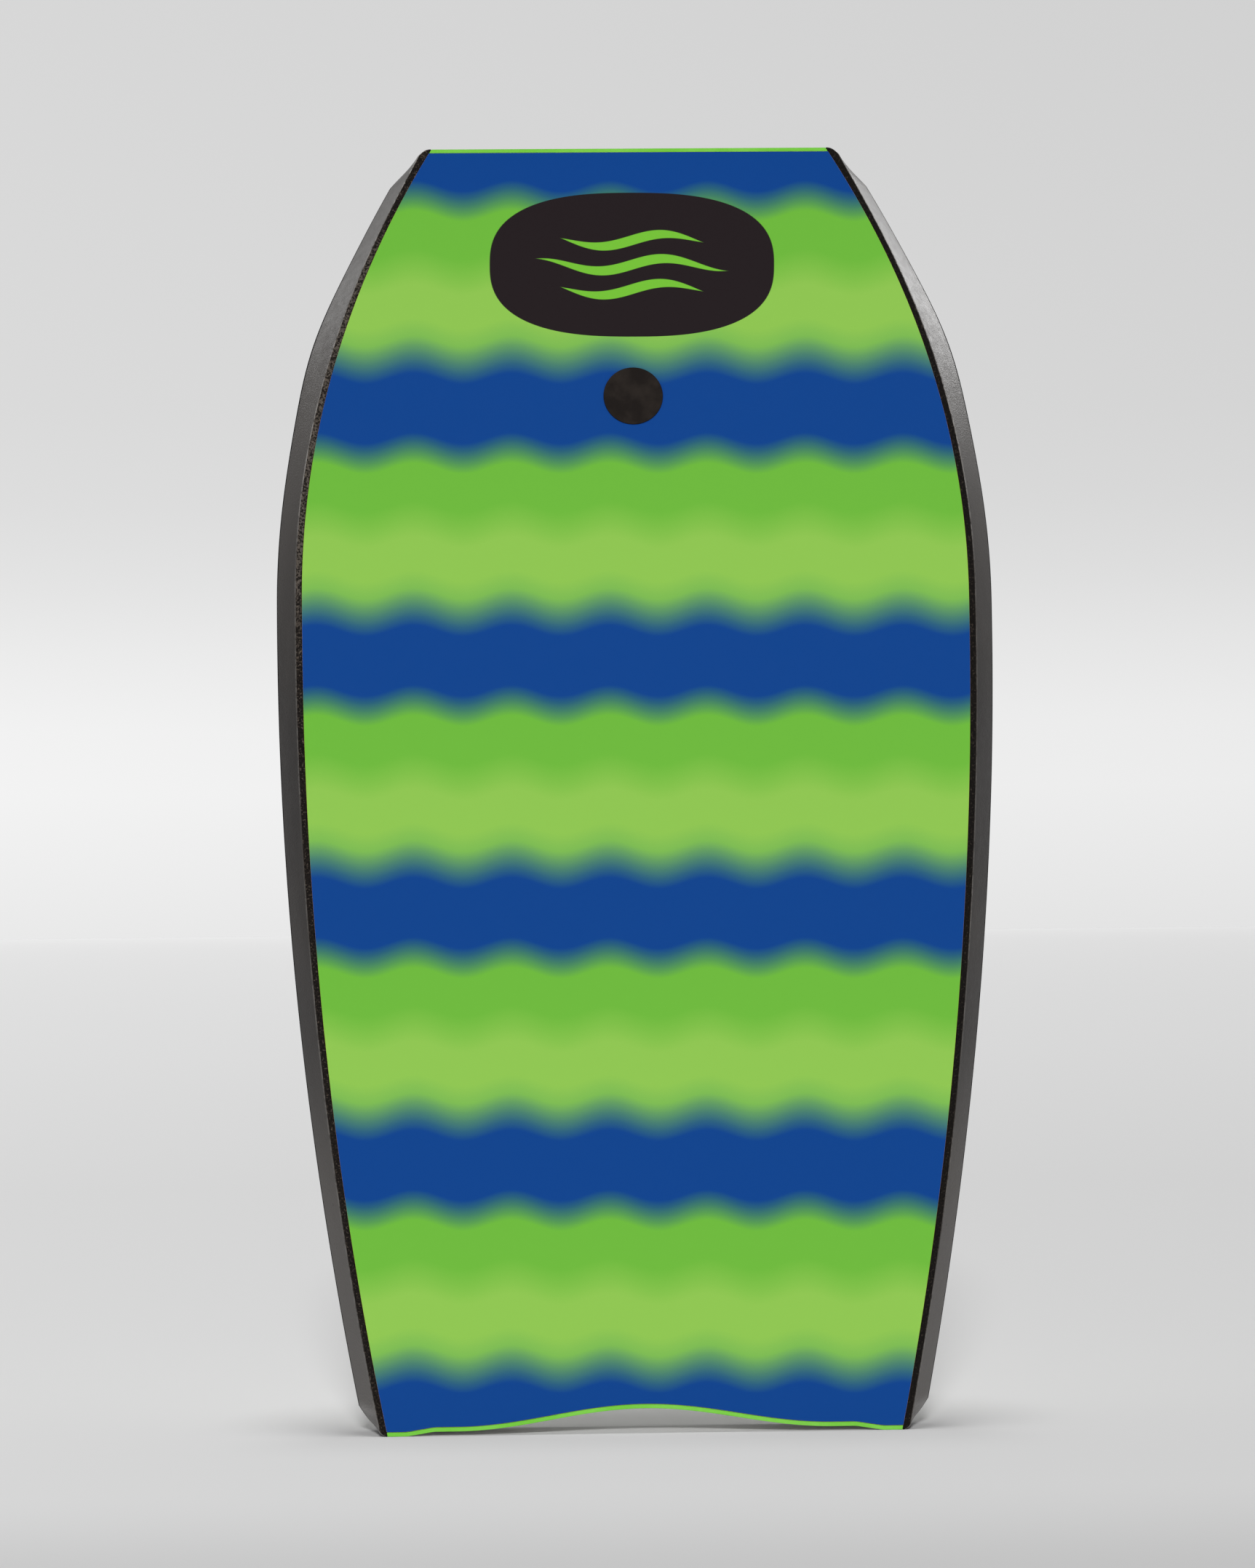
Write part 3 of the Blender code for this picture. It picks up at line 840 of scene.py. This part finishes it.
def plug_cap(place, surface):
    """Slick-side disc: low dome with a rounded rim, and a stud that runs into the cup."""
    under = -GAP
    flat = under - DISC_THICK
    flat_radius = FLANGE_RADIUS - DISC_ROUND
    tip = THICK_PLUG - STUD_SHORT
    points = []
    for k in range(DOME_STEPS + 1):
        dome = DISC_DOME * (1 - (k / DOME_STEPS) ** 2) ** DOME_POWER
        points.append((flat_radius * k / DOME_STEPS, flat - dome))
    points += arc((flat_radius, flat + DISC_ROUND), DISC_ROUND, -90, 0)[1:]
    points += [(FLANGE_RADIUS, under), (STUD_RADIUS, under), (STUD_RADIUS, tip - STUD_CHAMFER)]
    points += [(STUD_RADIUS - STUD_CHAMFER, tip), (0.0, tip)]
    return turned("leash_plug_cap", points, [surface], place)


def plug_cup(place, surface):
    """Deck-side cup with a bar across its hollow and a socket for the stud."""
    seat = THICK_PLUG + GAP
    rim = seat + RIM_THICK
    floor = rim - CUP_HOLLOW_DEPTH
    socket = STUD_RADIUS + GAP
    hollow = CUP_HOLLOW_RADIUS
    points = [(0.0, floor), (hollow - CUP_ROUND, floor)]
    points += arc((hollow - CUP_ROUND, floor + CUP_ROUND), CUP_ROUND, -90, 0, 6)[1:]
    points += arc((hollow + CUP_ROUND, rim - CUP_ROUND), CUP_ROUND, 180, 90, 6)
    points += arc((FLANGE_RADIUS - RIM_RADIUS, rim - RIM_RADIUS), RIM_RADIUS, 90, 0, 10)
    points += [(FLANGE_RADIUS, seat), (CUP_RADIUS, seat), (CUP_RADIUS, CORE_BOTTOM + GAP)]
    inside = floor - SOCKET_DEEPER
    points += [(socket, CORE_BOTTOM + GAP), (socket, inside), (0.0, inside)]
    cup = turned("leash_plug_cup", points, [surface], place)
    half = hollow + BAR_SUNK
    turn = Matrix.Translation((0, 0, rim - BAR_DEPTH)) @ Matrix.Rotation(math.pi / 2, 4, 'X')
    bar = turned("bar", [(0.0, -half), (BAR_RADIUS, -half), (BAR_RADIUS, half), (0.0, half)],
                 [surface], place @ turn)
    apply_boolean(cup, bar, 'UNION')
    cup.data.shade_smooth()
    cup.data.set_sharp_from_angle(angle=SHARP_ANGLE)
    return cup


def lower_rail(word, side, band, face, ridge_highlight, seam_skin):
    """Rail beside the slick: cut band, rounded ridge, skinned face, and the dark seam at the apex."""
    steps = 6

    def section(s):
        edge = slick_half_width(s) + GAP
        tip, _top = apex(s)
        seam = tip[1] - GAP / 2
        wide = BAND_WIDTH + BAND_NOSE_EXTRA * math.exp((s - LENGTH) / BAND_FADE)
        wide = min(wide, BAND_SHARE * (tip[0] - edge))
        wide *= BAND_LEAST + (1 - BAND_LEAST) * math.sqrt(min((LENGTH - s) / BAND_ROUND, 1.0))
        ridge = along((edge + wide, FACE_DEPTH), tip, EDGE_FALL)
        rim = along(ridge, (tip[0], seam), ridge[1] + RIM_SHARE * (seam - ridge[1]))
        return filleted([(edge, CORE_BOTTOM, 0.0),
                         (edge, EDGE_FALL, EDGE_RADIUS),
                         (*ridge, RIDGE_RADIUS),
                         (*rim, 0.0),
                         (tip[0], seam, LIP_RADIUS),
                         (core_side(s)[1][0] + GAP, seam, 0.0)], steps)

    # the ridge's surface is a painted highlight
    surfaces = [band, face, ridge_highlight, seam_skin]
    at_band, at_face, at_ridge, at_seam = range(len(surfaces))
    slots = [at_band] * (steps + 2) + [at_ridge] * steps + [at_face]
    slots += [at_seam] * (steps + 1) + [at_face, at_band]
    return loft("rail_lower_" + word, section, rail_places(), surfaces, side, slots, bevel=0.0006)


def upper_rail(word, side, face):
    """Chine between the apex and the deck skin."""
    def section(s):
        tip, top = apex(s)
        seam = tip[1] + GAP / 2
        under_deck = thickness(s) - DECK_THICK - GAP
        inner = core_side(s)
        return filleted([(inner[1][0] + GAP, seam, 0.0),
                         (tip[0], seam, LIP_RADIUS),
                         (*along(tip, top, under_deck), EDGE_RADIUS),
                         (inner[2][0] + GAP, under_deck, 0.0)], 6)

    return loft("rail_upper_" + word, section, rail_places(), [face], side, bevel=0.0006)


def print_layout(sheet, right, up, forward):
    """UV map of the print: metres across and up on a sheet held square to the view."""
    layer = sheet.data.uv_layers.new(name="print")
    for loop in sheet.data.loops:
        point = sheet.data.vertices[loop.vertex_index].co - EYE
        reach = PRINT_REACH / point.dot(forward)
        layer.data[loop.index].uv = (point.dot(right) * reach, point.dot(up) * reach)


def layers_start(x):
    return tail_end(x) + STRIP_THICK + GAP


def layers_end(x):
    return LENGTH - STRIP_THICK - GAP


def board_end(x):
    return LENGTH


def sheet_side(near, deep):
    """Right side of a sheet as wide as the slick, between two depths."""
    return lambda s: [(slick_half_width(s), near), (slick_half_width(s), deep)]


def build_slick(place, view_axes):
    slick = slab("slick_sheet", sheet_side(0.0, SLICK_THICK), 2, layers_start, layers_end, 0.006,
                 [slick_material(), slick_edge_material()], bevel=0.0008, edge_slot=1)
    slick.modifiers["rounded_edges"].material = 1
    apply_boolean(slick, bore(STUD_RADIUS + GAP, place), 'DIFFERENCE')
    print_layout(slick, *view_axes)
    put(slick, "slick_sheet", "slick_print_blue")


def build_backing(place):
    near = SLICK_THICK + GAP
    backing = slab("slick_backing", sheet_side(near, near + BACKING_THICK), 2, layers_start, layers_end,
                   0.010, [backing_material()], bevel=0.0004)
    apply_boolean(backing, bore(STUD_RADIUS + GAP, place), 'DIFFERENCE')
    put(backing, "slick_backing", "backing_foam_grey")


def build_core(place):
    core = slab("foam_core", core_side, 3, layers_start, layers_end, 0.008, [core_material()],
                bevel=0.0006)
    apply_boolean(core, bore(CUP_RADIUS + GAP, place), 'DIFFERENCE')
    put(core, "foam_core", "core_foam_white")


def deck_side(s):
    """Right side of the deck skin, which follows the chine."""
    tip, top = apex(s)
    deep = thickness(s)
    return [along(tip, top, deep - DECK_THICK), along(tip, top, deep - DECK_THICK / 2), top]


def build_deck(place):
    deck = slab("deck_skin", deck_side, 3, tail_end, board_end, 0.005, [deck_material()],
                bevel=0.0012)
    apply_boolean(deck, bore(CUP_RADIUS + GAP, place), 'DIFFERENCE')
    put(deck, "deck_skin", "deck_skin_lime")


def strip_side(s):
    """Right side of an end strip: it closes the slick, the backing and the core together."""
    return [(slick_half_width(s), 0.0)] + core_side(s)


def build_strips():
    lime = strip_material()
    ends = (("nose_strip", lambda x: LENGTH - STRIP_THICK, board_end),
            ("tail_strip", tail_end, lambda x: tail_end(x) + STRIP_THICK))
    for name, start, end in ends:
        strip = slab(name, strip_side, 4, start, end, 0.003, [lime], along_step=0.0012, bevel=0.0007)
        put(strip, name, "end_strip_lime")


def build_rails():
    band = band_material()
    # the ridge's material is a painted highlight
    ridge_highlight = ridge_material()
    seam = skin_material("rail_seam_black", (14, 12, 12), (22, 19, 19), 0.85, 0.05)
    # the face's ends are painted paler in the last tone, as painted sheen
    face = skin_material("rail_foam_black", (34, 30, 28), (50, 46, 44), 0.32, 0.08, (79, 75, 72))
    chine = skin_material("chine_foam_black", (34, 30, 29), (50, 46, 45), 0.50, 0.30)
    for side, word in ((-1, "left"), (1, "right")):
        lower = lower_rail(word, side, band, face, ridge_highlight, seam)
        put(lower, "rail_lower_" + word, "rail_foam_black")
        upper = upper_rail(word, side, chine)
        put(upper, "rail_upper_" + word, "chine_foam_black")


def build_plug(place):
    nylon = plug_material()
    put(plug_cap(place, nylon), "leash_plug_cap", "plug_plastic_black")
    put(plug_cup(place, nylon), "leash_plug_cup", "plug_plastic_black")


def build_board(view_axes):
    place = plug_frame()
    build_slick(place, view_axes)
    build_backing(place)
    build_core(place)
    build_deck(place)
    build_strips()
    build_rails()
    build_plug(place)


# ---------------------------------------------------------------- studio

def make_camera():
    """Camera in front of the slick; returns its right, up and forward directions."""
    forward = (AIM - EYE).normalized()
    level = forward.cross(Vector((0, 0, 1))).normalized()
    above = level.cross(forward)
    right = level * math.cos(ROLL) + above * math.sin(ROLL)
    up = above * math.cos(ROLL) - level * math.sin(ROLL)
    data = bpy.data.cameras.new("camera")
    data.lens = LENS_MM
    data.sensor_width = SENSOR_MM
    data.clip_end = 2000.0
    camera = bpy.data.objects.new("camera", data)
    camera.matrix_world = Matrix.Translation(EYE) @ Matrix((right, up, -forward)).transposed().to_4x4()
    bpy.context.scene.collection.objects.link(camera)
    bpy.context.scene.camera = camera
    return right, up, forward


def make_floor():
    """Wide pale floor with painted shade: a little darker near the board, to the front and to the right."""
    body = bmesh.new()
    bmesh.ops.create_circle(body, cap_ends=True, segments=96, radius=FLOOR_RADIUS)
    made = finished("floor", body, [])
    made.location.z = floor_height
    paint = Surface("floor_paint", roughness=1.0, specular=0.0)
    far = paint.node("ShaderNodeVectorMath", operation='LENGTH')
    paint.feed(far.inputs[0], paint.place())
    decades = paint.math('LOGARITHM', far.outputs["Value"], 10.0)
    first, last = FLOOR_DECADES
    share = paint.math('DIVIDE', paint.math('SUBTRACT', decades, first), last - first)
    stops = []
    for decade, tone in FLOOR_TONES:
        stops.append(((decade - first) / (last - first), (tone, tone, tone, 1.0)))
    across, depth, _height = paint.axes()
    dark_from, dark_to, front_tone = FLOOR_FRONT
    near = paint.smooth(depth, dark_from, dark_to)
    dim = paint.mix(near, (1.0, 1.0, 1.0, 1.0), (front_tone, front_tone, front_tone, 1.0))
    away = paint.math('MAXIMUM', paint.math('ADD', depth, FLOOR_FAN), FLOOR_FAN_LEAST)
    aside = paint.math('DIVIDE', across, away)
    slant = paint.node("ShaderNodeMapRange")
    fill_slant(slant)
    paint.feed(slant.inputs[0], aside)
    shade = paint.ramp(share, stops)
    # painted shade: the tone darkens near the board, to the front and to the right
    for factor in (dim, slant.outputs[0]):
        product = paint.node("ShaderNodeMix", data_type='RGBA', blend_type='MULTIPLY')
        product.inputs[0].default_value = 1.0
        paint.feed(product.inputs[6], shade)
        paint.feed(product.inputs[7], factor)
        shade = product.outputs[2]
    paint.set("Base Color", shade)
    made.data.materials.append(paint.material)
    made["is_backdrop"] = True
    return made


def make_world():
    """Pale grey surroundings, brightest just above the horizon, that light matt surfaces faintly."""
    world = bpy.data.worlds.new("studio")
    bpy.context.scene.world = world
    world.use_nodes = True
    tree = world.node_tree
    background = tree.nodes["Background"]
    coordinate = tree.nodes.new("ShaderNodeTexCoord")
    parts = tree.nodes.new("ShaderNodeSeparateXYZ")
    ramp = tree.nodes.new("ShaderNodeValToRGB")
    tree.links.new(coordinate.outputs["Generated"], parts.inputs[0])
    tree.links.new(parts.outputs[2], ramp.inputs[0])
    tree.links.new(ramp.outputs[0], background.inputs["Color"])
    fill_ramp(ramp, [(rise, colour(grey, grey, grey)) for rise, grey in WORLD_TONES])
    rays = tree.nodes.new("ShaderNodeLightPath")
    fill = tree.nodes.new("ShaderNodeMapRange")
    fill.inputs[3].default_value = 1.0
    fill.inputs[4].default_value = FILL_SHARE
    tree.links.new(rays.outputs["Is Diffuse Ray"], fill.inputs[0])
    slant = tree.nodes.new("ShaderNodeMapRange")
    fill_slant(slant)
    tree.links.new(parts.outputs[0], slant.inputs[0])
    level = tree.nodes.new("ShaderNodeMath")
    level.operation = 'MULTIPLY'
    tree.links.new(fill.outputs[0], level.inputs[0])
    tree.links.new(slant.outputs[0], level.inputs[1])
    tree.links.new(level.outputs[0], background.inputs["Strength"])


def add_sun(name, strength, angle, azimuth, elevation, lit):
    """Soft distant light on the objects of one collection. Azimuth 0 comes from -Y, 90 from +X."""
    data = bpy.data.lights.new(name, 'SUN')
    data.energy = strength
    data.angle = math.radians(angle)
    lamp = bpy.data.objects.new(name, data)
    a, e = math.radians(azimuth), math.radians(elevation)
    towards = Vector((math.sin(a) * math.cos(e), -math.cos(a) * math.cos(e), math.sin(e)))
    lamp.rotation_mode = 'QUATERNION'
    lamp.rotation_quaternion = towards.to_track_quat('Z', 'Y')
    bpy.context.scene.collection.objects.link(lamp)
    lamp.light_linking.receiver_collection = lit
    return lamp


def make_lights(floor, pieces):
    """Three lights for the floor, two broad ones for the board, and four for the sheen of the rails."""
    on_floor = bpy.data.collections.new("lit_floor")
    on_floor.objects.link(floor)
    on_board = bpy.data.collections.new("lit_board")
    for piece in pieces:
        on_board.objects.link(piece)
    add_sun("floor_front", 1.70, 9, -2, 30, on_floor)
    add_sun("floor_overhead", 0.88, 12, 0, 86, on_floor)
    add_sun("floor_behind", 0.235, 9, 180, 83, on_floor)
    front = add_sun("front", 2.37, 60, 0, 14, on_board)
    rear = add_sun("rear", 1.50, 60, 170, 22, on_board)
    for broad in (front, rear):
        broad.visible_glossy = False
    rims = [add_sun("rim_right", 2.10, 28, 130, 34, on_board),
            add_sun("rim_left", 0.60, 24, -128, 34, on_board),
            add_sun("low_right", 2.40, 20, 122, -32, on_board),
            add_sun("low_left", 2.05, 20, -122, -31, on_board)]
    for rim in rims:
        rim.visible_diffuse = False
        rim.light_linking.blocker_collection = on_board


bpy.context.scene.view_settings.view_transform = 'Standard'
axes = make_camera()
make_world()
build_board(axes)
make_lights(make_floor(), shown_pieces())
